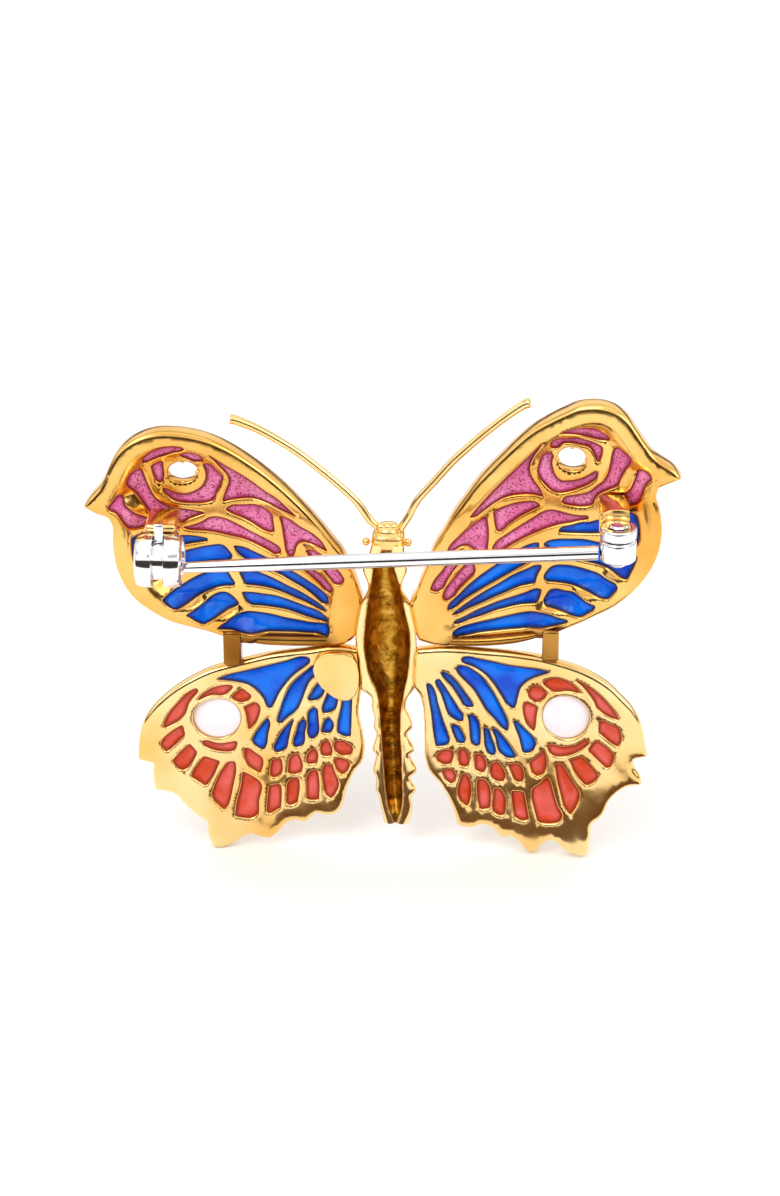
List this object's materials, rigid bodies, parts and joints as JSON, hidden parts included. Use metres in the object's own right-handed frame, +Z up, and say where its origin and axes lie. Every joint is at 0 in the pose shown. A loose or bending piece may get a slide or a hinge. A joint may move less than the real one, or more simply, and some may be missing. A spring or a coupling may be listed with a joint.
{
  "type": "butterfly brooch with hinged pin stem and turning catch",
  "caption": "Butterfly brooch: pierced gold wings with enamel panes, hollow-backed body, hinged pin stem and turning safety catch.",
  "frame": {"origin": "on the brooch's back plane, on the body's centre line, level with the middle of the pin stem", "axes": "+Z up towards the head, -Y out of the back face that lies against cloth, X across the wings"},
  "size_m": [0.0439, 0.0097, 0.0376],
  "materials": {
    "cast_gold": "polished",
    "white_metal": "polished",
    "rose_enamel": "glossy",
    "blue_enamel": "glossy",
    "ember_enamel": "glossy",
    "pearl_enamel": "satin"
  },
  "bodies": {
    "brooch_body": {"antenna_left": "cast_gold", "antenna_right": "cast_gold", "body_shell": "cast_gold", "catch_post": "cast_gold", "catch_shell": "white_metal", "eye_bead_left": "cast_gold", "eye_bead_right": "cast_gold", "forewing_frame_left": "cast_gold", "forewing_frame_right": "cast_gold", "head": "cast_gold", "hindwing_frame_left": "cast_gold", "hindwing_frame_right": "cast_gold", "hinge_leaf": "white_metal", "hinge_post": "cast_gold", "hinge_rivet": "white_metal", "pane_forewing_left_blue_fifth": "blue_enamel", "pane_forewing_left_blue_fourth_inner": "blue_enamel", "pane_forewing_left_blue_fourth_outer": "blue_enamel", "pane_forewing_left_blue_third_inner": "blue_enamel", "pane_forewing_left_blue_third_outer": "blue_enamel", "pane_forewing_left_rose_fin": "rose_enamel", "pane_forewing_left_rose_leaf": "rose_enamel", "pane_forewing_left_rose_sail": "rose_enamel", "pane_forewing_right_blue_fifth": "blue_enamel", "pane_forewing_right_blue_fourth_inner": "blue_enamel", "pane_forewing_right_blue_fourth_outer": "blue_enamel", "pane_forewing_right_blue_third_inner": "blue_enamel", "pane_forewing_right_blue_third_outer": "blue_enamel", "pane_forewing_right_rose_fin": "rose_enamel", "pane_forewing_right_rose_leaf": "rose_enamel", "pane_forewing_right_rose_sail": "rose_enamel", "pane_hindwing_left_blue_feather": "blue_enamel", "pane_hindwing_left_blue_plume_3": "blue_enamel", "pane_hindwing_left_blue_sail": "blue_enamel", "pane_hindwing_left_ember_blade": "ember_enamel", "pane_hindwing_left_ember_large": "ember_enamel", "pane_hindwing_left_ember_tile_1": "ember_enamel", "pane_hindwing_left_ember_tile_2": "ember_enamel", "pane_hindwing_left_ember_tile_3": "ember_enamel", "pane_hindwing_right_blue_feather": "blue_enamel", "pane_hindwing_right_blue_plume_3": "blue_enamel", "pane_hindwing_right_blue_sail": "blue_enamel", "pane_hindwing_right_ember_blade": "ember_enamel", "pane_hindwing_right_ember_large": "ember_enamel", "pane_hindwing_right_ember_tile_1": "ember_enamel", "pane_hindwing_right_ember_tile_2": "ember_enamel", "pane_hindwing_right_ember_tile_3": "ember_enamel", "pearl_cabochon_left": "pearl_enamel", "pearl_cabochon_right": "pearl_enamel", "signature_plate": "cast_gold", "wing_strut_left": "cast_gold", "wing_strut_right": "cast_gold"},
    "catch_lock_body": {"catch_ring": "white_metal", "catch_lever": "white_metal"},
    "eye_body": {"stem_eye": "white_metal"},
    "stem_body": {"pin_stem": "white_metal"}
  },
  "joints": [
    {"name": "catch_lock", "type": "hinge", "parent": "brooch_body", "child": "catch_lock_body", "pos_m": [-0.01657, -0.005, -0.0007], "axis": [1, 0, 0], "range_deg": [0, 105]},
    {"name": "stem_swing", "type": "hinge", "parent": "brooch_body", "child": "eye_body", "pos_m": [0.0169, -0.005, 0.001], "axis": [0, 0, 1], "range_deg": [0, 80]},
    {"name": "stem_flex", "type": "hinge", "parent": "eye_body", "child": "stem_body", "pos_m": [0.0155, -0.005, 0.0007], "axis": [0, 1, 0], "range_deg": [-5, 0], "stiffness_Nm_per_rad": 0.01}
  ]
}
